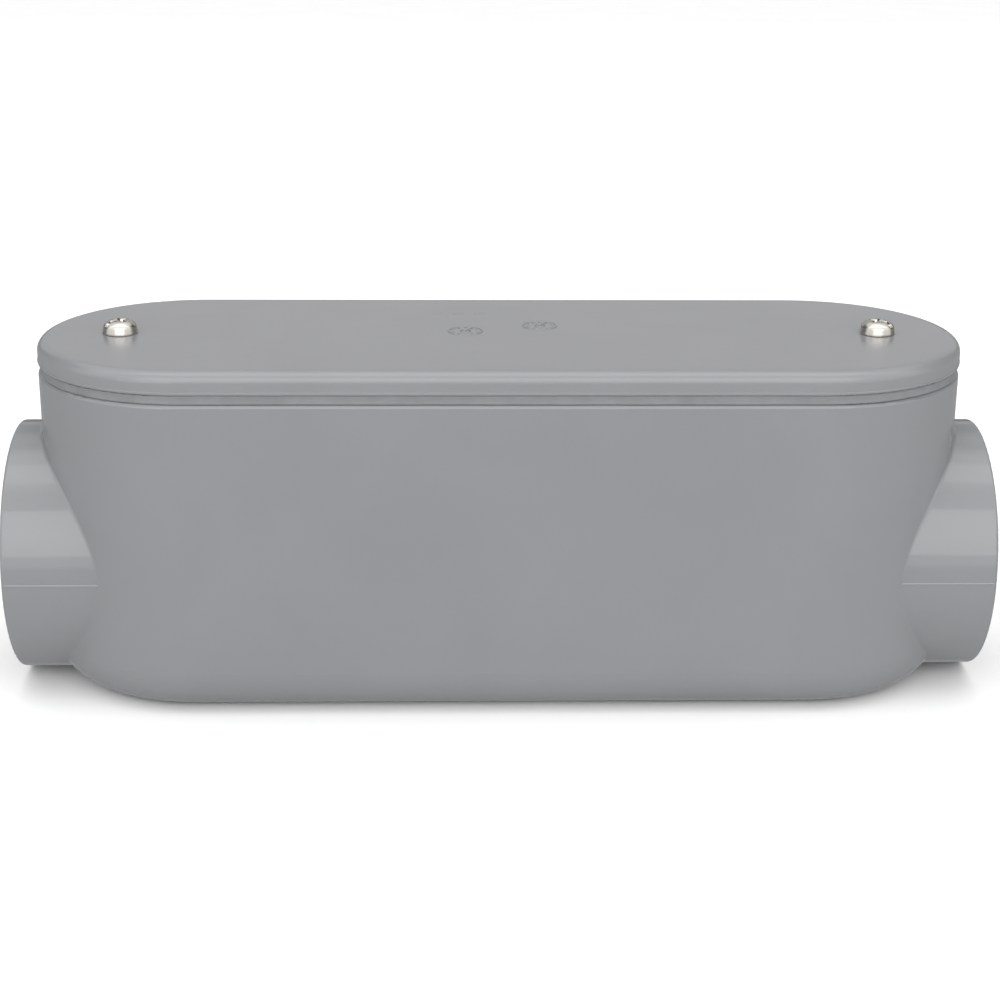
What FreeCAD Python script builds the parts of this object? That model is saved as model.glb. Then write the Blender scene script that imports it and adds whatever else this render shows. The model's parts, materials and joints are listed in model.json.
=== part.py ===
"""Straight-through conduit body in rigid plastic, for conduit of the 2 inch trade size.

Millimetres. +X runs along the conduit, +Z points at the cover, and the origin is the centre
of the flat back. The left end is at -X and the right end is at +X.
"""

import FreeCAD, Part
import math
import os

# Body: a deep stadium-shaped box, open at the top
BODY_R = 41.6
BODY_HALF_STRAIGHT = 83.0
RIM_Z = 86.0
WALL = 3.5
BACK_EDGE_R = 12.0
RIM_EDGE_R = 1.0
INNER_EDGE_R = 0.6

# Hubs: one at each end, moulded with the body
HUB_R = 34.3
HUB_END_X = 132.1
AXIS_Z = 34.4
HUB_EDGE_R = 0.8
HUB_ROOT_R = 1.0

# Socket that the conduit is cemented into, the stop behind it and the throat through the stop
SOCKET_R = 30.4
SOCKET_DEPTH = 28.6
LEAD_IN = 1.0
STOP_T = 8.0
THROAT_R = 26.2
THROAT_EDGE_R = 2.5

# Cover screw bosses, each standing on the inner end of a hub
SCREW_X = 102.7
BOSS_R = 6.5
BOSS_FOOT = 2.4
PILOT_R = 2.7
PILOT_DEPTH = 14.0
WEB_T = 3.0
WEB_DROP = 2.5

# Threaded insert in each boss
INSERT_R = 3.2
INSERT_L = 9.5
INSERT_BORE_R = 2.5
INSERT_FLANGE_R = 3.9
INSERT_FLANGE_T = 0.8
INSERT_GROOVE_R = 2.9
INSERT_GROOVE_L = 1.6

# Gasket: a foam frame on the rim, with a tab under each screw
GASKET_T = 2.5
GASKET_SETBACK = 0.45
GASKET_WIDTH = 6.4
GASKET_TAB_R = 8.2
GASKET_HOLE_R = 2.9
GASKET_EDGE_R = 0.35

# Cover: a lid with a skirt, hollow underneath, and a low bead round its foot
COVER_R = 41.7
COVER_T = 6.0
COVER_PLATE_T = 3.4
COVER_SKIRT_W = 5.0
COVER_TOP_EDGE_R = 2.8
COVER_LOW_EDGE_R = 0.45
COVER_BEAD_H = 1.0
COVER_BEAD_OUT = 0.12
COVER_PAD_R = 7.6
COVER_HOLE_R = 2.75

# Cover screws: pan head with a slot and a cross recess
SHANK_R = 2.41
SHANK_L = 15.9
SHANK_TIP = 0.8
HEAD_R = 4.75
HEAD_H = 3.6
HEAD_FOOT_R = 0.25
HEAD_SHOULDER_R = 4.5
HEAD_SHOULDER_Z = 1.7
HEAD_BULGE_R = 3.55
HEAD_BULGE_Z = 3.0
SLOT_W = 1.35
SLOT_DEPTH = 1.5
CROSS_HALF = 2.5
CROSS_FOOT = 0.9
CROSS_W = 1.15
CROSS_DEPTH = 2.6
SLOT_ANGLE = {"left": 40.0, "right": 140.0}

COVER_Z = RIM_Z + GASKET_T
COVER_TOP_Z = COVER_Z + COVER_T
SOCKET_STOP_X = HUB_END_X - SOCKET_DEPTH
COLLAR_X = SOCKET_STOP_X - STOP_T
SIDES = {"left": -1, "right": 1}

UP = FreeCAD.Vector(0, 0, 1)


def point(x, y, z):
    return FreeCAD.Vector(x, y, z)


def stadium(radius, z_low, z_high, half_straight=BODY_HALF_STRAIGHT):
    """A solid of stadium outline: two straight sides joined by half circles."""
    corners = [
        point(-half_straight, -radius, z_low),
        point(half_straight, -radius, z_low),
        point(half_straight, radius, z_low),
        point(-half_straight, radius, z_low),
    ]
    right_end = point(half_straight + radius, 0, z_low)
    left_end = point(-half_straight - radius, 0, z_low)
    edges = [
        Part.LineSegment(corners[0], corners[1]).toShape(),
        Part.Arc(corners[1], right_end, corners[2]).toShape(),
        Part.LineSegment(corners[2], corners[3]).toShape(),
        Part.Arc(corners[3], left_end, corners[0]).toShape(),
    ]
    return Part.Face(Part.Wire(edges)).extrude(UP * (z_high - z_low))


def edges_at(shape, z, tolerance=1e-4):
    """The edges that lie wholly at one height."""
    return [e for e in shape.Edges
            if abs(e.BoundBox.ZMin - z) < tolerance and abs(e.BoundBox.ZMax - z) < tolerance]


def hub_cylinder(side, radius, x_inner, x_outer):
    """A cylinder on the conduit axis, between two distances from the middle."""
    base = point(side * x_inner, 0, AXIS_Z)
    return Part.makeCylinder(radius, x_outer - x_inner, base, point(side, 0, 0))


def circle_edges(shape, radius, x):
    """The full circles of one radius round the conduit axis, at one place along it."""
    found = []
    for edge in shape.Edges:
        curve = edge.Curve
        if isinstance(curve, Part.Circle) and abs(curve.Radius - radius) < 1e-4:
            if abs(curve.Center.x - x) < 1e-4:
                found.append(edge)
    return found


def upright(side, radius, z_low, z_high):
    """A cylinder on one cover screw's axis."""
    return Part.makeCylinder(radius, z_high - z_low, point(side * SCREW_X, 0, z_low))


def slab_to_end(side, half_width, x_end, z_low, z_high):
    """A slab from one cover screw's axis to a place nearer the end."""
    slab = Part.makeBox(x_end - SCREW_X, 2 * half_width, z_high - z_low)
    x_low = SCREW_X if side > 0 else -x_end
    slab.translate(point(x_low, -half_width, z_low))
    return slab


def end_tab(side, radius, z_low, z_high):
    """A round-nosed tab that reaches in from the end to surround one cover screw."""
    slab = slab_to_end(side, radius, SCREW_X + BODY_R, z_low, z_high)
    return upright(side, radius, z_low, z_high).fuse(slab)


def hub(side):
    """The outside of one hub, from its inner collar to its mouth."""
    blank = hub_cylinder(side, HUB_R, COLLAR_X, HUB_END_X)
    return blank.makeFillet(HUB_EDGE_R, circle_edges(blank, HUB_R, side * HUB_END_X))


def hub_bore(side):
    """The socket with its lead-in, and the throat with a smooth inner edge for the wires."""
    socket = hub_cylinder(side, SOCKET_R, SOCKET_STOP_X, HUB_END_X + 1)
    lead_in = Part.makeCone(SOCKET_R, SOCKET_R + LEAD_IN, LEAD_IN,
                            point(side * (HUB_END_X - LEAD_IN), 0, AXIS_Z), point(side, 0, 0))
    throat = hub_cylinder(side, THROAT_R, COLLAR_X - 1, SOCKET_STOP_X + 1)
    flare = hub_cylinder(side, THROAT_R + THROAT_EDGE_R, COLLAR_X - 1, COLLAR_X + THROAT_EDGE_R)
    ring_centre = point(side * (COLLAR_X + THROAT_EDGE_R), 0, AXIS_Z)
    ring = Part.makeTorus(THROAT_R + THROAT_EDGE_R, THROAT_EDGE_R, ring_centre, point(side, 0, 0))
    return socket.fuse([lead_in, throat, flare.cut(ring)])


def boss(side):
    """A screw boss standing on the hub's collar, with a web to the end wall."""
    z_low = AXIS_Z + HUB_R - BOSS_FOOT
    x_in_wall = BODY_HALF_STRAIGHT + BODY_R - WALL / 2
    web = slab_to_end(side, WEB_T / 2, x_in_wall, z_low, RIM_Z - WEB_DROP)
    return upright(side, BOSS_R, z_low, RIM_Z).fuse(web)


def insert_seat(side):
    """The pocket for the threaded insert, with room for the screw's end below it."""
    body = upright(side, INSERT_R, RIM_Z - INSERT_L, RIM_Z)
    flange = upright(side, INSERT_FLANGE_R, RIM_Z - INSERT_FLANGE_T, RIM_Z + 1)
    pilot = upright(side, PILOT_R, RIM_Z - PILOT_DEPTH, RIM_Z)
    return body.fuse([flange, pilot])


def make_conduit_body():
    """The box, hubs and bosses, moulded in one."""
    outside = stadium(BODY_R, 0, RIM_Z)
    outside = outside.makeFillet(BACK_EDGE_R, edges_at(outside, 0))
    outside = outside.makeFillet(RIM_EDGE_R, edges_at(outside, RIM_Z))
    outside = outside.fuse([hub(side) for side in SIDES.values()])
    outside = round_hub_roots(outside)

    chamber = stadium(BODY_R - WALL, WALL, RIM_Z + 1)
    chamber = chamber.makeFillet(BACK_EDGE_R - WALL, edges_at(chamber, WALL))
    chamber = chamber.cut([hub(side) for side in SIDES.values()])
    body = outside.cut(chamber).fuse([boss(side) for side in SIDES.values()])
    body = body.cut([hub_bore(side) for side in SIDES.values()]).removeSplitter()
    body = body.makeFillet(INNER_EDGE_R, inner_top_edges(body))
    return body.cut([insert_seat(side) for side in SIDES.values()])


def inner_top_edges(body):
    """The rim's edge inside the box, and the edge round the top of each boss."""
    wall_edge_y = BODY_R - WALL
    found = []
    for edge in edges_at(body, RIM_Z):
        radius = edge.Curve.Radius if isinstance(edge.Curve, Part.Circle) else abs(edge.BoundBox.YMin)
        if abs(radius - wall_edge_y) < 1e-3 or abs(radius - BOSS_R) < 1e-3:
            found.append(edge)
    return found


def round_hub_roots(shape):
    """Rounds the corner where each hub leaves the body's end."""
    roots = []
    for edge in shape.Edges:
        box = edge.BoundBox
        on_end = box.XMin > BODY_HALF_STRAIGHT or box.XMax < -BODY_HALF_STRAIGHT
        middle = edge.valueAt((edge.FirstParameter + edge.LastParameter) / 2)
        from_axis = math.hypot(middle.y, middle.z - AXIS_Z)
        if on_end and abs(from_axis - HUB_R) < 1e-3 and abs(middle.x) < HUB_END_X - 2 * HUB_EDGE_R:
            if box.ZLength > 1:
                roots.append(edge)
    return shape.makeFillet(HUB_ROOT_R, roots)


def make_cover():
    """The lid: a plate with a rounded top edge, a skirt and a pad round each screw hole."""
    lid = stadium(COVER_R - COVER_BEAD_OUT, COVER_Z, COVER_TOP_Z)
    lid = lid.makeFillet(COVER_TOP_EDGE_R, edges_at(lid, COVER_TOP_Z))
    bead_z = COVER_Z + COVER_BEAD_H
    bead = stadium(COVER_R, COVER_Z, bead_z)
    bead = bead.makeChamfer(2 * COVER_BEAD_OUT, edges_at(bead, bead_z))
    lid = lid.fuse(bead).removeSplitter()
    lid = lid.makeFillet(COVER_LOW_EDGE_R, edges_at(lid, COVER_Z))
    plate_z = COVER_TOP_Z - COVER_PLATE_T
    hollow = stadium(COVER_R - COVER_SKIRT_W, COVER_Z - 1, plate_z)
    hollow = hollow.cut([end_tab(side, COVER_PAD_R, COVER_Z - 1, plate_z) for side in SIDES.values()])
    holes = [upright(side, COVER_HOLE_R, COVER_Z - 1, COVER_TOP_Z + 1) for side in SIDES.values()]
    return lid.cut([hollow] + holes).removeSplitter()


def make_gasket():
    """The foam frame between the rim and the cover."""
    outer_r = BODY_R - GASKET_SETBACK
    frame = stadium(outer_r, RIM_Z, COVER_Z)
    rims = edges_at(frame, RIM_Z) + edges_at(frame, COVER_Z)
    frame = frame.makeFillet(GASKET_EDGE_R, rims)
    z_span = (RIM_Z - 1, COVER_Z + 1)
    window = stadium(outer_r - GASKET_WIDTH, *z_span)
    window = window.cut([end_tab(side, GASKET_TAB_R, *z_span) for side in SIDES.values()])
    holes = [upright(side, GASKET_HOLE_R, *z_span) for side in SIDES.values()]
    return frame.cut([window] + holes).removeSplitter()


def make_insert(side):
    """A flanged brass insert with a retaining groove; the bore stands for its thread."""
    barrel = upright(side, INSERT_R, RIM_Z - INSERT_L, RIM_Z)
    flange = upright(side, INSERT_FLANGE_R, RIM_Z - INSERT_FLANGE_T, RIM_Z)
    bore = upright(side, INSERT_BORE_R, RIM_Z - INSERT_L - 1, RIM_Z + 1)
    groove_z = RIM_Z - (INSERT_L + INSERT_GROOVE_L) / 2
    band = upright(side, INSERT_R + 1, groove_z, groove_z + INSERT_GROOVE_L)
    core = upright(side, INSERT_GROOVE_R, groove_z, groove_z + INSERT_GROOVE_L)
    return barrel.fuse(flange).cut(band.cut(core)).cut(bore).removeSplitter()


def head_blank():
    """A pan head, turned: a rounded foot and a leaning side under a full crown."""
    foot = point(HEAD_R - HEAD_FOOT_R, 0, 0)
    foot_bend = HEAD_FOOT_R * (1 - math.sqrt(0.5))
    waist = point(HEAD_R, 0, HEAD_FOOT_R)
    shoulder = point(HEAD_SHOULDER_R, 0, HEAD_SHOULDER_Z)
    bulge = point(HEAD_BULGE_R, 0, HEAD_BULGE_Z)
    top = point(0, 0, HEAD_H)
    crown = Part.BSplineCurve()
    crown.interpolate(Points=[shoulder, bulge, top],
                      InitialTangent=shoulder - waist, FinalTangent=point(-1, 0, 0))
    edges = [
        Part.LineSegment(point(0, 0, 0), foot).toShape(),
        Part.Arc(foot, point(HEAD_R - foot_bend, 0, foot_bend), waist).toShape(),
        Part.LineSegment(waist, shoulder).toShape(),
        crown.toShape(),
        Part.LineSegment(top, point(0, 0, 0)).toShape(),
    ]
    return Part.Face(Part.Wire(edges)).revolve(point(0, 0, 0), UP, 360)


def cross_wing():
    """One pair of opposite wings of the cross recess, narrowing downwards."""
    top = HEAD_H + 0.1
    foot = HEAD_H - CROSS_DEPTH
    outline = [
        point(-CROSS_HALF, -CROSS_W / 2, top),
        point(CROSS_HALF, -CROSS_W / 2, top),
        point(CROSS_FOOT, -CROSS_W / 2, foot),
        point(-CROSS_FOOT, -CROSS_W / 2, foot),
    ]
    return Part.Face(Part.makePolygon(outline + outline[:1])).extrude(point(0, CROSS_W, 0))


def make_screw(name):
    """A cover screw, tight on the cover. The plain shank stands for its thread."""
    slot = Part.makeBox(2 * HEAD_R + 2, SLOT_W, SLOT_DEPTH + 1)
    slot.translate(point(-HEAD_R - 1, -SLOT_W / 2, HEAD_H - SLOT_DEPTH))
    wing = cross_wing()
    other_wing = wing.copy()
    other_wing.rotate(point(0, 0, 0), UP, 90)
    head = head_blank().cut(slot.fuse([wing, other_wing]))
    shank = Part.makeCylinder(SHANK_R, SHANK_L - SHANK_TIP, point(0, 0, SHANK_TIP - SHANK_L))
    tip = Part.makeCone(SHANK_R - SHANK_TIP, SHANK_R, SHANK_TIP, point(0, 0, -SHANK_L))
    screw = head.fuse([shank, tip]).removeSplitter()
    screw.rotate(point(0, 0, 0), UP, SLOT_ANGLE[name])
    screw.translate(point(SIDES[name] * SCREW_X, 0, COVER_TOP_Z))
    return screw


def main():
    parts = {
        "conduit_body": make_conduit_body(),
        "cover": make_cover(),
        "gasket": make_gasket(),
    }
    for name, side in SIDES.items():
        parts[name + "_insert"] = make_insert(side)
        parts[name + "_cover_screw"] = make_screw(name)
    os.makedirs("parts", exist_ok=True)
    for node, shape in parts.items():
        solids = shape.Solids
        if len(solids) != 1 or not solids[0].isValid():
            raise ValueError(f"{node} has {len(solids)} solids, or is not valid")
        solids[0].exportStep(f"parts/{node}.step")
        box = solids[0].BoundBox
        print(f"{node}: {solids[0].Volume / 1000:.2f} cm3,"
              f" {box.XLength:.1f} x {box.YLength:.1f} x {box.ZLength:.1f} mm")


if __name__ == "__main__":
    main()
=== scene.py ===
"""Looks for a straight-through conduit body in moulded plastic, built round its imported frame."""

import json
import math

import bmesh
import bpy
from bpy.props import FloatProperty, FloatVectorProperty, IntProperty, PointerProperty
from bpy.types import Operator, Panel, PropertyGroup
from mathutils import Matrix, Vector, noise


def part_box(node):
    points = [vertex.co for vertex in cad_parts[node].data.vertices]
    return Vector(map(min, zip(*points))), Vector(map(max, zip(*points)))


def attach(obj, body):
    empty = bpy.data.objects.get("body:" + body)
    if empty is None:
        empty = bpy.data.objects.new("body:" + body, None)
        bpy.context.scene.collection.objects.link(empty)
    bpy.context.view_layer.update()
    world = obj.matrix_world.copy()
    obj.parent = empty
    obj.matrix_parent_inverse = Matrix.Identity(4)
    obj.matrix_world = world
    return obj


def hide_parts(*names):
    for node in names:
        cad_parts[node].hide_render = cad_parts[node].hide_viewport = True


bl_info = {
    "name": "Conduit Body",
    "version": (1, 0, 0),
    "blender": (4, 5, 0),
    "location": "View3D > Sidebar > Conduit Body",
    "description": "Finishes a moulded conduit body with its cover, gasket, screws and inserts",
    "category": "Object",
}

MM = 0.001
UP = Vector((0, 0, 1))
SIDES = {"left": -1, "right": 1}

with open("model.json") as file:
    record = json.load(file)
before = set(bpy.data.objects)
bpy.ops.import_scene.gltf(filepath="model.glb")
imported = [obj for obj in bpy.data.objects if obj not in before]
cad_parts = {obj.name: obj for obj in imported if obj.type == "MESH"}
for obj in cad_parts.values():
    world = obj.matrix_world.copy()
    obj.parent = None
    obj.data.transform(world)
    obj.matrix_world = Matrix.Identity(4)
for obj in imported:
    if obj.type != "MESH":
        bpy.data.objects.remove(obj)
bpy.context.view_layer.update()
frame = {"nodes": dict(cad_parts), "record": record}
NODES = frame["nodes"]
MOUNTS = {mount["name"]: mount for mount in frame["record"]["mounts"]}

# Places and sizes that the frame gives
AXIS_Z = MOUNTS["right_socket"]["pos_m"][2]
BODY_LOW, BODY_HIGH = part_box("conduit_body")
COVER_LOW, COVER_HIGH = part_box("cover")
SCREW_X = sum(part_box("right_cover_screw"), Vector()).x / 2
BODY_STRAIGHT = COVER_HIGH.x - COVER_HIGH.y
HUB_R = 34.3 * MM

# Parting line: from inside the wall of the body's rounded end to where the mouth's edge rounds
LINE_START = BODY_STRAIGHT + 21 * MM
LINE_END = BODY_HIGH.x - 0.7 * MM
LINE_CUTS = 28

# Moulded marks on the cover, placed from its centre
DIALS = {"date_dial": (11 * MM, 8 * MM), "shift_dial": (-9.5 * MM, 2 * MM)}
DIAL_TICKS = 12
POINTER_TURN = 1.1
BARS_X = [-19 * MM, -13 * MM, -7 * MM]
BARS_Y = 22 * MM
BAR_LENGTH = 3.2 * MM
BAR_WIDTH = 0.7 * MM
# How far the foot of a low mark reaches below the surface that it stands on
FOOT_DEPTH = 0.05 * MM

# Squeezed foam: how finely its edge is cut up, and the lip that it forms just above its foot
FOAM_SLICE = 2.5 * MM
FOAM_LEVELS = (0.2 * MM, 0.6 * MM, 1.2 * MM, 1.8 * MM)
FOAM_OUTER_BAND = 1 * MM
FOAM_WANDER = 9 * MM
FOAM_MOST_OUT = 0.3 * MM
LIP_RISE = 0.2 * MM
LIP_SPREAD = 1 * MM
LIP_OUT = 0.1 * MM

# Screw thread: its crest, the taper at the tip and the lengths left plain at both ends
THREAD_CREST_R = 2.4 * MM
THREAD_FOOT_DEPTH = 0.1 * MM
TIP_TAPER_R = 0.45 * MM
TIP_TAPER_L = 0.6 * MM
PLAIN_TIP = 0.7 * MM
PLAIN_NECK = 1.3 * MM
# The inserts' flat rings lie outside this radius and their thread lies inside it
INSERT_BORE_EDGE_R = 2.55 * MM

# Surroundings: brightness by height in degrees, before and behind the object
LOWEST_DEGREES = -10
FRONT_LEVELS = ((-6, 0.17), (-2, 0.55), (12, 0.55), (20, 0.68),
                (35, 0.68), (45, 0.64), (60, 0.64), (70, 1))
BACK_LEVELS = ((-4, 0.17), (2, 0.08), (12, 0.08), (20, 0.03),
               (35, 0.03), (45, 0.5), (60, 0.5), (70, 1))
# The level that shows as white past the floor's edge, and half the width of the change from
# front to back
WHITE_LEVEL = 0.5
TURN_TO_BACK = 0.15
FLOOR_HALF_WIDTH = 8.0


def linear(hex_colour):
    """A colour written as sRGB hex, turned to the linear values that Blender works in."""
    channels = [int(hex_colour[i:i + 2], 16) / 255 for i in (1, 3, 5)]
    return [c / 12.92 if c <= 0.04045 else ((c + 0.055) / 1.055) ** 2.4 for c in channels]


# ---------------------------------------------------------------- settings

class PlasticSettings(PropertyGroup):
    body_colour: FloatVectorProperty(
        name="Body colour", description="Colour of the moulded body", subtype="COLOR",
        default=linear("#7b7d7f"))
    cover_colour: FloatVectorProperty(
        name="Cover colour", description="Colour of the moulded cover", subtype="COLOR",
        default=linear("#7d7e80"))
    body_roughness: FloatProperty(
        name="Body roughness", description="Roughness of the moulded body", default=0.08,
        min=0.02, max=0.9)
    cover_roughness: FloatProperty(
        name="Cover roughness", description="Roughness of the moulded cover", default=0.2,
        min=0.02, max=0.9)
    line_height: FloatProperty(
        name="Parting line", description="How far the mould's parting line stands proud of a hub",
        default=0.14 * MM, min=0, unit="LENGTH")
    dial_radius: FloatProperty(
        name="Dial radius", description="Radius of the moulded date dials on the cover",
        default=4.6 * MM, min=0, unit="LENGTH")
    dial_height: FloatProperty(
        name="Dial height", description="How far the date dials stand proud of the cover",
        default=0.22 * MM, min=0, unit="LENGTH")


class GasketSettings(PropertyGroup):
    foam_colour: FloatVectorProperty(
        name="Foam colour", description="Colour of the gasket's foam", subtype="COLOR",
        default=linear("#747678"))
    unevenness: FloatProperty(
        name="Unevenness", description="How far the squeezed outer edge wanders in and out",
        default=0.132 * MM, min=0, unit="LENGTH")


class MetalSettings(PropertyGroup):
    screw_colour: FloatVectorProperty(
        name="Screw colour", description="Colour of the bright plated screws", subtype="COLOR",
        default=linear("#c8c4bc"))
    brass_colour: FloatVectorProperty(
        name="Brass colour", description="Colour of the turned brass inserts", subtype="COLOR",
        default=linear("#d8b66c"))
    thread_pitch: FloatProperty(
        name="Thread pitch", description="Distance from one turn of the screws' thread to the next",
        default=25.4 / 32 * MM, min=0.2 * MM, unit="LENGTH")
    thread_depth: FloatProperty(
        name="Thread depth", description="Height of the screws' thread over its core",
        default=0.46 * MM, min=0, unit="LENGTH")
    thread_steps: IntProperty(
        name="Thread steps", description="Faces round one turn of the thread", default=24, min=8)


class StageSettings(PropertyGroup):
    floor_colour: FloatVectorProperty(
        name="Floor colour", description="Colour of the plain floor", subtype="COLOR",
        default=linear("#f1f1f1"))
    room_light: FloatProperty(
        name="Room light", description="Brightness of the surroundings straight overhead",
        default=2.07, min=0)
    strip_light: FloatProperty(
        name="Strip light", description="Brightness of the long strip above the object",
        default=0.69, min=0)
    front_light: FloatProperty(
        name="Front light", description="Brightness of the soft box in front",
        default=1.22, min=0)
    back_light: FloatProperty(
        name="Back light", description="Brightness of the wide soft box behind",
        default=0.42, min=0)
    fill_light: FloatProperty(
        name="Back fill", description="Brightness of the even fill light from behind",
        default=0.9, min=0)
    lens: FloatProperty(
        name="Lens", description="Focal length of the camera", default=73.1, unit="CAMERA")


# ---------------------------------------------------------------- mesh helpers

def put_in_scene(shape, name, body, material, sharp_degrees=35):
    """Turns a finished bmesh into a piece that rides on a body of the frame."""
    mesh = bpy.data.meshes.new(name)
    shape.to_mesh(mesh)
    shape.free()
    mesh.shade_smooth()
    mesh.set_sharp_from_angle(angle=math.radians(sharp_degrees))
    mesh.materials.append(material)
    piece = bpy.data.objects.new(name, mesh)
    bpy.context.scene.collection.objects.link(piece)
    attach(piece, body)
    return piece


def section(shape, points):
    """A flat face from a few points, with what a spin or an extrusion needs of it."""
    face = shape.faces.new([shape.verts.new(point) for point in points])
    return [face, *face.edges, *face.verts]


def only_verts(geometry):
    """The vertices among the parts that an operator gives back."""
    return [item for item in geometry if isinstance(item, bmesh.types.BMVert)]


def merged_copy(node):
    """The mesh of a CAD node with its loose triangles joined."""
    shape = bmesh.new()
    shape.from_mesh(NODES[node].data)
    bmesh.ops.remove_doubles(shape, verts=shape.verts, dist=0.001 * MM)
    return shape


def cut(shape, place, across, clear_below=False):
    """Adds edges where a plane crosses the shape, and may clear away what lies below it."""
    bmesh.ops.bisect_plane(shape, geom=[*shape.verts, *shape.edges, *shape.faces], dist=1e-7,
                           plane_co=place, plane_no=across, clear_inner=clear_below)


def close_and_turn_out(shape):
    """Joins what meets, closes what is open, and points every face outwards."""
    bmesh.ops.remove_doubles(shape, verts=shape.verts, dist=0.0005 * MM)
    bmesh.ops.holes_fill(shape, edges=[edge for edge in shape.edges if edge.is_boundary])
    bmesh.ops.recalc_face_normals(shape, faces=shape.faces)


def turned(shape, outline, centre, steps):
    """A closed solid turned round an upright axis, from an outline of (radius, height)."""
    verts = [shape.verts.new(centre + Vector((radius, 0, height))) for radius, height in outline]
    edges = [shape.edges.new(pair) for pair in zip(verts, verts[1:])]
    if outline[0][0] > 0:
        edges.append(shape.edges.new((verts[-1], verts[0])))
    bmesh.ops.spin(shape, geom=verts + edges, cent=centre, axis=UP, angle=math.tau,
                   steps=steps, use_merge=True)


def low_ring(shape, centre, radius, width, height, steps=48):
    """A low moulded ring with sloping sides, its foot just inside the surface below it."""
    turned(shape, [(radius - width / 2, -FOOT_DEPTH), (radius + width / 2, -FOOT_DEPTH),
                   (radius + width / 5, height), (radius - width / 5, height)], centre, steps)


def low_bar(shape, start, end, width, height):
    """A low moulded bar with sloping sides, lying flat from one place to another."""
    across = (end - start).normalized().cross(UP) * width
    foot = start - FOOT_DEPTH * UP
    crest = start + height * UP
    face = section(shape, [foot - across / 2, foot + across / 2,
                           crest + across / 4, crest - across / 4])[0]
    made = bmesh.ops.extrude_face_region(shape, geom=[face], use_keep_orig=True)["geom"]
    bmesh.ops.translate(shape, verts=only_verts(made), vec=end - start)


# ---------------------------------------------------------------- node helpers

def add_node(tree, kind, links=(), inputs=(), **settings):
    """Adds one shader node with its settings, what feeds it and its fixed inputs."""
    node = tree.nodes.new(kind)
    for name, value in settings.items():
        setattr(node, name, value)
    for socket, value in dict(inputs).items():
        node.inputs[socket].default_value = value
    for socket, source in dict(links).items():
        tree.links.new(source, node.inputs[socket])
    return node


def new_material(name):
    """An empty material with its output node."""
    material = bpy.data.materials.new(name)
    material.use_nodes = True
    tree = material.node_tree
    tree.nodes.clear()
    return material, tree, tree.nodes.new("ShaderNodeOutputMaterial")


def wave_scale(period):
    """The scale at which a wave texture repeats once in this length."""
    return math.tau / (20 * period)


def dress(node_name, material):
    """Gives a CAD node its finish."""
    for slot in NODES[node_name].material_slots:
        slot.material = material


# ---------------------------------------------------------------- finishes

def moulded_pvc(name, colour, roughness):
    """Rigid PVC, injection moulded in a polished tool.

    The eye sees a dense even grey under a clear satin gloss, with faint flow marks in its tone,
    a slight waviness in its reflections, and hairline rubbing from handling.
    """
    material, tree, output = new_material(name)
    place = add_node(tree, "ShaderNodeTexCoord").outputs["Object"]
    # Flow marks, a few centimetres long
    flow = add_node(tree, "ShaderNodeTexNoise", {"Vector": place},
                    {"Scale": 1 / (45 * MM), "Detail": 3.0, "Distortion": 0.6})
    tone = add_node(tree, "ShaderNodeMapRange", {"Value": flow.outputs["Fac"]},
                    {"From Min": 0.3, "From Max": 0.7, "To Min": 0.975, "To Max": 1.025})
    base = add_node(tree, "ShaderNodeVectorMath", {1: tone.outputs["Result"]},
                    {0: colour}, operation="MULTIPLY")
    # Rubbing, in fine streaks along the part
    stretched = add_node(tree, "ShaderNodeMapping", {"Vector": place}, {"Scale": (0.06, 1.0, 1.0)})
    rubbed = add_node(tree, "ShaderNodeTexNoise", {"Vector": stretched.outputs["Vector"]},
                      {"Scale": 1 / (1.4 * MM), "Detail": 5.0, "Roughness": 0.65})
    gloss = add_node(tree, "ShaderNodeMapRange", {"Value": rubbed.outputs["Fac"]},
                     {"From Min": 0.35, "From Max": 0.75,
                      "To Min": roughness - 0.015, "To Max": roughness + 0.045})
    # Slow waves in the surface, as moulded walls have
    peel = add_node(tree, "ShaderNodeTexNoise", {"Vector": place},
                    {"Scale": 1 / (7 * MM), "Detail": 2.0})
    waves = add_node(tree, "ShaderNodeBump", {"Height": peel.outputs["Fac"]},
                     {"Strength": 1.0, "Distance": 0.012 * MM})
    skin = add_node(tree, "ShaderNodeBsdfPrincipled",
                    {"Base Color": base.outputs["Vector"], "Roughness": gloss.outputs["Result"],
                     "Normal": waves.outputs["Normal"]}, {"IOR": 1.54})
    tree.links.new(skin.outputs["BSDF"], output.inputs["Surface"])
    return material


def gasket_foam(name, colour):
    """Closed-cell foam with a moulded skin.

    The eye sees a soft grey with fine cells showing through, and a dull sheen where it is squeezed.
    """
    material, tree, output = new_material(name)
    place = add_node(tree, "ShaderNodeTexCoord").outputs["Object"]
    cells = add_node(tree, "ShaderNodeTexVoronoi", {"Vector": place}, {"Scale": 1 / (0.5 * MM)})
    blotch = add_node(tree, "ShaderNodeTexNoise", {"Vector": place},
                      {"Scale": 1 / (6 * MM), "Detail": 3.0})
    tone = add_node(tree, "ShaderNodeMapRange", {"Value": blotch.outputs["Fac"]},
                    {"From Min": 0.3, "From Max": 0.7, "To Min": 0.93, "To Max": 1.07})
    base = add_node(tree, "ShaderNodeVectorMath", {1: tone.outputs["Result"]},
                    {0: colour}, operation="MULTIPLY")
    relief = add_node(tree, "ShaderNodeBump", {"Height": cells.outputs["Distance"]},
                      {"Strength": 0.5, "Distance": 0.05 * MM})
    skin = add_node(tree, "ShaderNodeBsdfPrincipled",
                    {"Base Color": base.outputs["Vector"], "Normal": relief.outputs["Normal"]},
                    {"Roughness": 0.5, "IOR": 1.5})
    tree.links.new(skin.outputs["BSDF"], output.inputs["Surface"])
    return material


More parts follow.
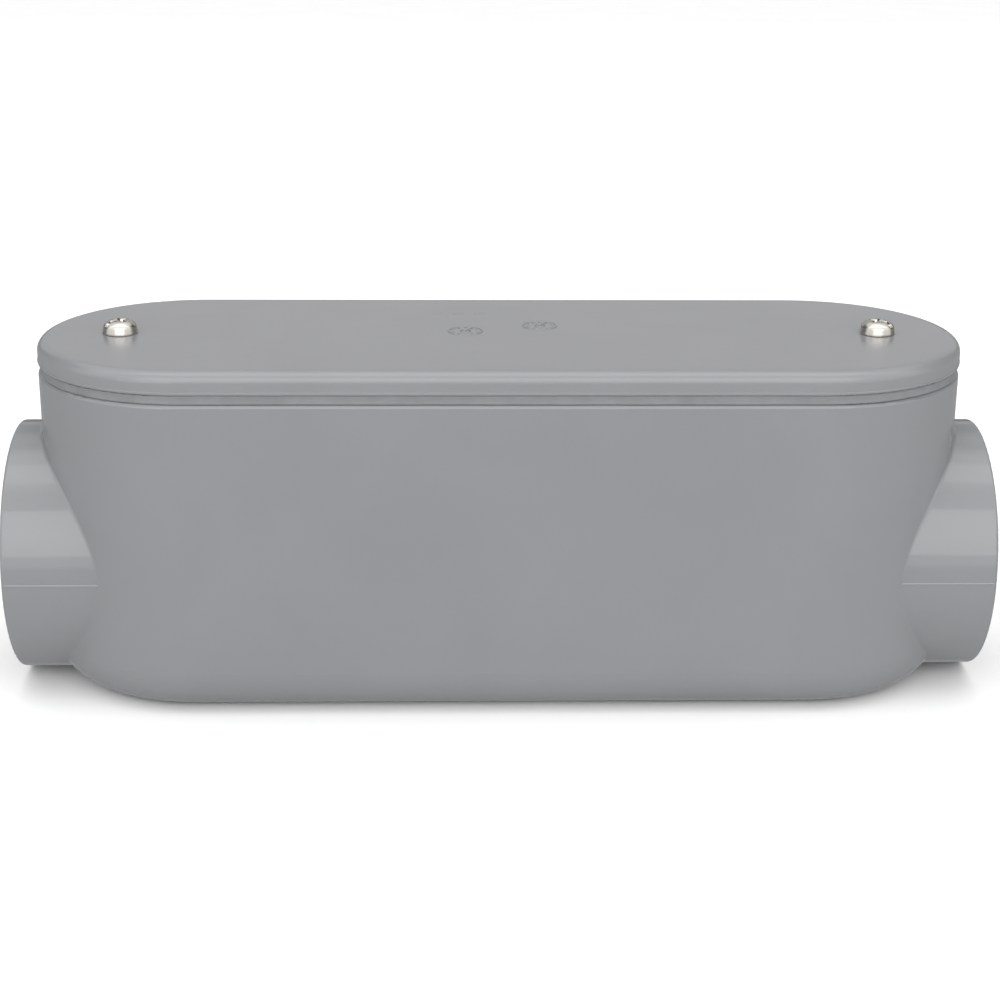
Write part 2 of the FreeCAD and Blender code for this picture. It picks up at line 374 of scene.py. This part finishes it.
def bright_plating(name, colour):
    """Nickel plating on rolled steel.

    The eye sees a bright mirror with a slight warmth, softened by fine pits and handling.
    """
    material, tree, output = new_material(name)
    place = add_node(tree, "ShaderNodeTexCoord").outputs["Object"]
    pits = add_node(tree, "ShaderNodeTexNoise", {"Vector": place},
                    {"Scale": 1 / (0.7 * MM), "Detail": 4.0})
    gloss = add_node(tree, "ShaderNodeMapRange", {"Value": pits.outputs["Fac"]},
                     {"From Min": 0.3, "From Max": 0.7, "To Min": 0.16, "To Max": 0.32})
    relief = add_node(tree, "ShaderNodeBump", {"Height": pits.outputs["Fac"]},
                      {"Strength": 0.6, "Distance": 0.03 * MM})
    skin = add_node(tree, "ShaderNodeBsdfPrincipled",
                    {"Roughness": gloss.outputs["Result"], "Normal": relief.outputs["Normal"]},
                    {"Base Color": (*colour, 1.0), "Metallic": 1.0})
    tree.links.new(skin.outputs["BSDF"], output.inputs["Surface"])
    return material


def turned_brass(name, colour, side, pitch):
    """Free-cutting brass, turned, with its thread cut inside.

    The eye sees a soft yellow metal with fine rings from the tool, and the grooves of the
    thread in the bore.
    """
    material, tree, output = new_material(name)
    place = add_node(tree, "ShaderNodeTexCoord").outputs["Object"]
    centred = add_node(tree, "ShaderNodeMapping", {"Vector": place},
                       {"Location": (-side * SCREW_X, 0, 0)})
    rings = add_node(tree, "ShaderNodeTexWave", {"Vector": centred.outputs["Vector"]},
                     {"Scale": wave_scale(0.12 * MM), "Distortion": 0.4},
                     wave_type="RINGS", rings_direction="Z")
    grooves = add_node(tree, "ShaderNodeTexWave", {"Vector": centred.outputs["Vector"]},
                       {"Scale": wave_scale(pitch)}, wave_type="BANDS", bands_direction="Z")
    parts = add_node(tree, "ShaderNodeSeparateXYZ", {0: centred.outputs["Vector"]})
    flat = add_node(tree, "ShaderNodeCombineXYZ", {0: parts.outputs[0], 1: parts.outputs[1]})
    from_axis = add_node(tree, "ShaderNodeVectorMath", {0: flat.outputs[0]}, operation="LENGTH")
    in_bore = add_node(tree, "ShaderNodeMath", {0: from_axis.outputs["Value"]},
                       {1: INSERT_BORE_EDGE_R}, operation="LESS_THAN")
    height = add_node(tree, "ShaderNodeMix", {"Factor": in_bore.outputs[0],
                                              "A": rings.outputs["Fac"],
                                              "B": grooves.outputs["Fac"]})
    depth = add_node(tree, "ShaderNodeMapRange", {"Value": in_bore.outputs[0]},
                     {"To Min": 0.004 * MM, "To Max": 0.3 * MM})
    relief = add_node(tree, "ShaderNodeBump", {"Height": height.outputs[0],
                                               "Distance": depth.outputs["Result"]},
                      {"Strength": 1.0})
    skin = add_node(tree, "ShaderNodeBsdfPrincipled", {"Normal": relief.outputs["Normal"]},
                    {"Base Color": (*colour, 1.0), "Metallic": 1.0, "Roughness": 0.27})
    tree.links.new(skin.outputs["BSDF"], output.inputs["Surface"])
    return material


def painted_floor(colour):
    """Matt white paint on a smooth board, with the faint mottle that a roller leaves."""
    material, tree, output = new_material("painted_floor")
    place = add_node(tree, "ShaderNodeTexCoord").outputs["Object"]
    mottle = add_node(tree, "ShaderNodeTexNoise", {"Vector": place},
                      {"Scale": 1 / (60 * MM), "Detail": 4.0})
    tone = add_node(tree, "ShaderNodeMapRange", {"Value": mottle.outputs["Fac"]},
                    {"From Min": 0.3, "From Max": 0.7, "To Min": 0.99, "To Max": 1.01})
    base = add_node(tree, "ShaderNodeVectorMath", {1: tone.outputs["Result"]},
                    {0: colour}, operation="MULTIPLY")
    skin = add_node(tree, "ShaderNodeBsdfPrincipled", {"Base Color": base.outputs["Vector"]},
                    {"Roughness": 0.85})
    tree.links.new(skin.outputs["BSDF"], output.inputs["Surface"])
    return material


# ---------------------------------------------------------------- pieces

class CONDUIT_OT_body(Operator):
    """Finish the moulded body, with the line along its hubs where its mould parted"""
    bl_idname = "conduit_body.body"
    bl_label = "Finish body"

    def execute(self, context):
        settings = context.scene.conduit_plastic
        pvc = moulded_pvc("moulded_pvc_body", settings.body_colour, settings.body_roughness)
        dress("conduit_body", pvc)
        for side_name, side in SIDES.items():
            shape = bmesh.new()
            for face_side in (-1, 1):
                self.hub_line(shape, side, face_side, settings.line_height)
            close_and_turn_out(shape)
            put_in_scene(shape, side_name + "_hub_parting_line", "conduit_body",
                         pvc)
        return {"FINISHED"}

    def line_section(self, x, face_side, height):
        """The line's section: a low crest with its foot inside the wall, sloping most above."""
        foot = -0.2 * MM
        profile = [(foot, -0.2 * MM), (0.6 * height, -0.12 * MM), (height, 0),
                   (0.6 * height, 0.13 * MM), (0, 0.3 * MM), (foot, 0.33 * MM)]
        return [Vector((x, face_side * (HUB_R + out), AXIS_Z + rise)) for out, rise in profile]

    def hub_line(self, shape, side, face_side, height):
        """The line along one side of a hub, from inside the body's wall to the mouth."""
        face = section(shape, self.line_section(side * LINE_START, face_side, height))[0]
        made = bmesh.ops.extrude_face_region(shape, geom=[face], use_keep_orig=True)["geom"]
        bmesh.ops.translate(shape, verts=only_verts(made),
                            vec=(side * (LINE_END - LINE_START), 0, 0))
        long_edges = [edge for edge in shape.edges if edge.calc_length() > 20 * MM]
        bmesh.ops.subdivide_edges(shape, edges=long_edges, cuts=LINE_CUTS, use_grid_fill=True)
        # The crest wanders a little, as flash does where it is trimmed
        for vert in shape.verts:
            if vert.co.y * face_side > HUB_R:
                wander = noise.noise(vert.co / (4 * MM))
                vert.co.y += face_side * 0.25 * height * wander
                vert.co.z += 0.02 * MM * wander


class CONDUIT_OT_cover(Operator):
    """Finish the cover, with the moulded dials that show when it was made"""
    bl_idname = "conduit_body.cover"
    bl_label = "Finish cover"

    def execute(self, context):
        settings = context.scene.conduit_plastic
        pvc = moulded_pvc("moulded_pvc_cover", settings.cover_colour, settings.cover_roughness)
        dress("cover", pvc)
        top = COVER_HIGH.z
        for name, (x, y) in DIALS.items():
            shape = bmesh.new()
            self.dial(shape, Vector((x, y, top)), settings.dial_radius, settings.dial_height)
            close_and_turn_out(shape)
            put_in_scene(shape, name, "cover", pvc)
        shape = bmesh.new()
        for x in BARS_X:
            start = Vector((x, BARS_Y, top))
            low_bar(shape, start, start + Vector((BAR_LENGTH, 0, 0)), BAR_WIDTH,
                    settings.dial_height)
        close_and_turn_out(shape)
        put_in_scene(shape, "cavity_bars", "cover", pvc)
        return {"FINISHED"}

    def dial(self, shape, centre, radius, height):
        """A ring of ticks round a small hub with a pointer."""
        low_ring(shape, centre, radius, 0.55 * MM, height)
        low_ring(shape, centre, 0.3 * radius, 0.4 * MM, height)
        for tick in range(DIAL_TICKS):
            out = Matrix.Rotation(tick * math.tau / DIAL_TICKS, 3, "Z") @ Vector((radius, 0, 0))
            low_bar(shape, centre + 0.72 * out, centre + 0.9 * out, 0.4 * MM, height)
        pointer = Matrix.Rotation(POINTER_TURN, 3, "Z") @ Vector((radius, 0, 0))
        low_bar(shape, centre - 0.2 * pointer, centre + 0.62 * pointer, 0.5 * MM, height)


class CONDUIT_OT_gasket(Operator):
    """Make the squeezed foam gasket"""
    bl_idname = "conduit_body.gasket"
    bl_label = "Make gasket"

    def execute(self, context):
        settings = context.scene.conduit_gasket
        low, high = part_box("gasket")
        shape = merged_copy("gasket")
        cuts = int((high.x - low.x) / FOAM_SLICE)
        for i in range(1, cuts):
            cut(shape, (low.x + (high.x - low.x) * i / cuts, 0, 0), (1, 0, 0))
        for height in FOAM_LEVELS:
            cut(shape, (0, 0, low.z + height), UP)
        for vert in shape.verts:
            end = max(-BODY_STRAIGHT, min(BODY_STRAIGHT, vert.co.x))
            out = Vector((vert.co.x - end, vert.co.y, 0))
            if out.length > high.y - FOAM_OUTER_BAND:
                # The foam is squeezed out most just above its foot
                lip = max(0, 1 - abs(vert.co.z - low.z - LIP_RISE) / LIP_SPREAD)
                wander = noise.fractal(vert.co / FOAM_WANDER, 1.0, 2.0, 3)
                push = settings.unevenness * wander + LIP_OUT * lip
                vert.co += out.normalized() * min(FOAM_MOST_OUT, push)
        close_and_turn_out(shape)
        foam = gasket_foam("gasket_foam", settings.foam_colour)
        gasket = put_in_scene(shape, "foam_gasket", "cover", foam, 50)
        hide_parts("gasket")
        return {"FINISHED"}


class CONDUIT_OT_screws(Operator):
    """Make the cover screws with their threads"""
    bl_idname = "conduit_body.screws"
    bl_label = "Make screws"

    def execute(self, context):
        settings = context.scene.conduit_metal
        plating = bright_plating("bright_nickel_plating", settings.screw_colour)
        for side_name, side in SIDES.items():
            node = side_name + "_cover_screw"
            seat = Vector((side * SCREW_X, 0, COVER_HIGH.z))
            shape = merged_copy(node)
            cut(shape, seat + 0.001 * MM * UP, UP, clear_below=True)
            self.thread(shape, seat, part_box(node)[0].z - seat.z, settings)
            close_and_turn_out(shape)
            piece = put_in_scene(shape, side_name + "_plated_screw", node,
                                 plating, 30)
            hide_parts(node)
        return {"FINISHED"}

    def thread(self, shape, seat, tip, settings):
        """A core with a pointed end, and the thread wound round it."""
        pitch = settings.thread_pitch
        core = THREAD_CREST_R - settings.thread_depth
        turned(shape, [(0, tip), (core - TIP_TAPER_R, tip), (core, tip + TIP_TAPER_L), (core, 0),
                       (0, 0)], seat, settings.thread_steps)
        foot = core - THREAD_FOOT_DEPTH
        start, end = tip + PLAIN_TIP, -PLAIN_NECK
        steps = round((end - start) / pitch * settings.thread_steps)
        profile = [(foot, -0.42 * pitch), (THREAD_CREST_R, -0.08 * pitch),
                   (THREAD_CREST_R, 0.08 * pitch), (foot, 0.42 * pitch)]
        others = set(shape.verts)
        first = section(shape, [seat + Vector((radius, 0, start + rise))
                                for radius, rise in profile])
        bmesh.ops.spin(shape, geom=first, cent=seat, axis=UP, steps=steps,
                       dvec=(0, 0, pitch / settings.thread_steps),
                       angle=math.tau * steps / settings.thread_steps)
        # Both ends of the thread run out into the core
        for vert in set(shape.verts) - others:
            height = vert.co.z - seat.z
            full = min(1, max(0, min(height - start, end - height) / pitch + 0.15))
            out = Vector((vert.co.x - seat.x, vert.co.y, 0))
            vert.co += out.normalized() * (foot - out.length) * (1 - full)


class CONDUIT_OT_inserts(Operator):
    """Finish the threaded inserts"""
    bl_idname = "conduit_body.inserts"
    bl_label = "Finish inserts"

    def execute(self, context):
        settings = context.scene.conduit_metal
        for side_name, side in SIDES.items():
            brass = turned_brass("turned_brass_" + side_name, settings.brass_colour, side,
                                 settings.thread_pitch)
            dress(side_name + "_insert", brass)
        return {"FINISHED"}


# ---------------------------------------------------------------- stage

def light_card(name, size, place, aim, radiance, mirrored=True):
    """A soft box of even brightness, unseen by the camera, and unseen in gloss if not mirrored."""
    data = bpy.data.lights.new(name, "AREA")
    data.shape = "RECTANGLE"
    data.size, data.size_y = size
    data.energy = radiance * math.pi * size[0] * size[1]
    card = bpy.data.objects.new(name, data)
    card.location = place
    card.rotation_euler = (Vector(aim) - Vector(place)).to_track_quat("-Z", "Y").to_euler()
    card.visible_camera = False
    card.visible_glossy = mirrored
    bpy.context.scene.collection.objects.link(card)


def brightness_by_height(tree, height, levels):
    """A ramp of grey over the height of a direction, from (degrees above the horizon, level)."""
    ramp = add_node(tree, "ShaderNodeValToRGB", {"Fac": height})
    stops = ramp.color_ramp.elements
    for degrees, level in levels:
        stop = stops.new((degrees - LOWEST_DEGREES) / (90 - LOWEST_DEGREES))
        stop.color = (level, level, level, 1)
    stops[0].color = stops[1].color
    return ramp.outputs["Color"]


def set_room(brightness):
    """Plain surroundings, brightest overhead, bright in front and dim behind and below."""
    world = bpy.data.worlds.new("room")
    world.use_nodes = True
    tree = world.node_tree
    direction = add_node(tree, "ShaderNodeTexCoord").outputs["Generated"]
    parts = add_node(tree, "ShaderNodeSeparateXYZ", {0: direction})
    angle = add_node(tree, "ShaderNodeMath", {0: parts.outputs["Z"]}, operation="ARCSINE")
    height = add_node(tree, "ShaderNodeMapRange", {"Value": angle.outputs[0]},
                      {"From Min": math.radians(LOWEST_DEGREES), "From Max": math.pi / 2})
    behind = add_node(tree, "ShaderNodeMapRange", {"Value": parts.outputs["Y"]},
                      {"From Min": -TURN_TO_BACK, "From Max": TURN_TO_BACK})
    front = brightness_by_height(tree, height.outputs["Result"], FRONT_LEVELS)
    back = brightness_by_height(tree, height.outputs["Result"], BACK_LEVELS)
    both = add_node(tree, "ShaderNodeMix",
                    {"Factor": behind.outputs["Result"], "A": front, "B": back})
    # The camera sees the same white past the floor's edge from every side
    seen = add_node(tree, "ShaderNodeLightPath").outputs["Is Camera Ray"]
    plain = add_node(tree, "ShaderNodeMix", {"Factor": seen, "A": both.outputs[0]},
                     {"B": WHITE_LEVEL})
    background = tree.nodes["Background"]
    background.inputs["Strength"].default_value = brightness
    tree.links.new(plain.outputs[0], background.inputs["Color"])
    bpy.context.scene.world = world


def set_camera(lens):
    """The camera, a little left of the middle and looking down on the cover."""
    distance = 570.6 * MM
    azimuth, elevation, roll = (math.radians(angle) for angle in (-1.498, 19.967, 0.41))
    centre = Vector((0, 0, AXIS_Z))
    aim = Vector((0.2 * MM, 0, AXIS_Z + 12.18 * MM))
    back = Vector((math.sin(azimuth) * math.cos(elevation),
                   -math.cos(azimuth) * math.cos(elevation), math.sin(elevation)))
    place = centre + back * distance
    turn = (aim - place).to_track_quat("-Z", "Y") @ Matrix.Rotation(roll, 4, "Z").to_quaternion()
    data = bpy.data.cameras.new("camera")
    data.lens = lens
    data.clip_start = 0.01
    camera = bpy.data.objects.new("camera", data)
    camera.location = place
    camera.rotation_euler = turn.to_euler()
    bpy.context.scene.collection.objects.link(camera)
    bpy.context.scene.camera = camera


class CONDUIT_OT_stage(Operator):
    """Set the floor, the lights and the camera"""
    bl_idname = "conduit_body.stage"
    bl_label = "Set stage"

    def execute(self, context):
        settings = context.scene.conduit_stage
        context.scene.view_settings.view_transform = "Standard"
        mesh = bpy.data.meshes.new("floor")
        shape = bmesh.new()
        bmesh.ops.create_grid(shape, x_segments=1, y_segments=1, size=FLOOR_HALF_WIDTH,
                              matrix=Matrix.Translation((0, 0, BODY_LOW.z)))
        shape.to_mesh(mesh)
        shape.free()
        mesh.materials.append(painted_floor(settings.floor_colour))
        floor = bpy.data.objects.new("floor", mesh)
        floor.visible_glossy = False
        context.scene.collection.objects.link(floor)
        set_room(settings.room_light)
        middle = (0, 0, AXIS_Z)
        light_card("overhead_strip", size=(3.0, 0.415), place=(0, -0.127, 1.2),
                   aim=(0, -0.127, 0), radiance=settings.strip_light)
        light_card("front_box", size=(1.3, 0.79), place=(0, -0.95, 0.51), aim=middle,
                   radiance=settings.front_light)
        light_card("back_box", size=(2.6, 1.0), place=(0, 1.5, 0.75), aim=middle,
                   radiance=settings.back_light)
        light_card("back_fill", size=(2.6, 1.0), place=(0, 1.5, 0.5), aim=middle,
                   radiance=settings.fill_light, mirrored=False)
        set_camera(settings.lens)
        return {"FINISHED"}


PANEL_ROWS = (
    ("conduit_plastic", (CONDUIT_OT_body, CONDUIT_OT_cover)),
    ("conduit_gasket", (CONDUIT_OT_gasket,)),
    ("conduit_metal", (CONDUIT_OT_screws, CONDUIT_OT_inserts)),
    ("conduit_stage", (CONDUIT_OT_stage,)),
)


class CONDUIT_PT_panel(Panel):
    """Sizes, colours and buttons for each part of the conduit body"""
    bl_idname = "CONDUIT_PT_panel"
    bl_label = "Conduit Body"
    bl_space_type = "VIEW_3D"
    bl_region_type = "UI"
    bl_category = "Conduit Body"

    def draw(self, context):
        for group, operators in PANEL_ROWS:
            box = self.layout.box()
            settings = getattr(context.scene, group)
            for name in settings.__annotations__:
                box.prop(settings, name)
            for operator in operators:
                box.operator(operator.bl_idname)


SETTINGS = {
    "conduit_plastic": PlasticSettings,
    "conduit_gasket": GasketSettings,
    "conduit_metal": MetalSettings,
    "conduit_stage": StageSettings,
}
CLASSES = (*SETTINGS.values(), CONDUIT_OT_body, CONDUIT_OT_cover, CONDUIT_OT_gasket,
           CONDUIT_OT_screws, CONDUIT_OT_inserts, CONDUIT_OT_stage, CONDUIT_PT_panel)


def register():
    for cls in CLASSES:
        bpy.utils.register_class(cls)
    for name, group in SETTINGS.items():
        setattr(bpy.types.Scene, name, PointerProperty(type=group))


def unregister():
    for name in SETTINGS:
        delattr(bpy.types.Scene, name)
    for cls in reversed(CLASSES):
        bpy.utils.unregister_class(cls)


def main():
    register()
    bpy.ops.conduit_body.body()
    bpy.ops.conduit_body.cover()
    bpy.ops.conduit_body.gasket()
    bpy.ops.conduit_body.screws()
    bpy.ops.conduit_body.inserts()
    bpy.ops.conduit_body.stage()


if __name__ == "__main__":
    main()
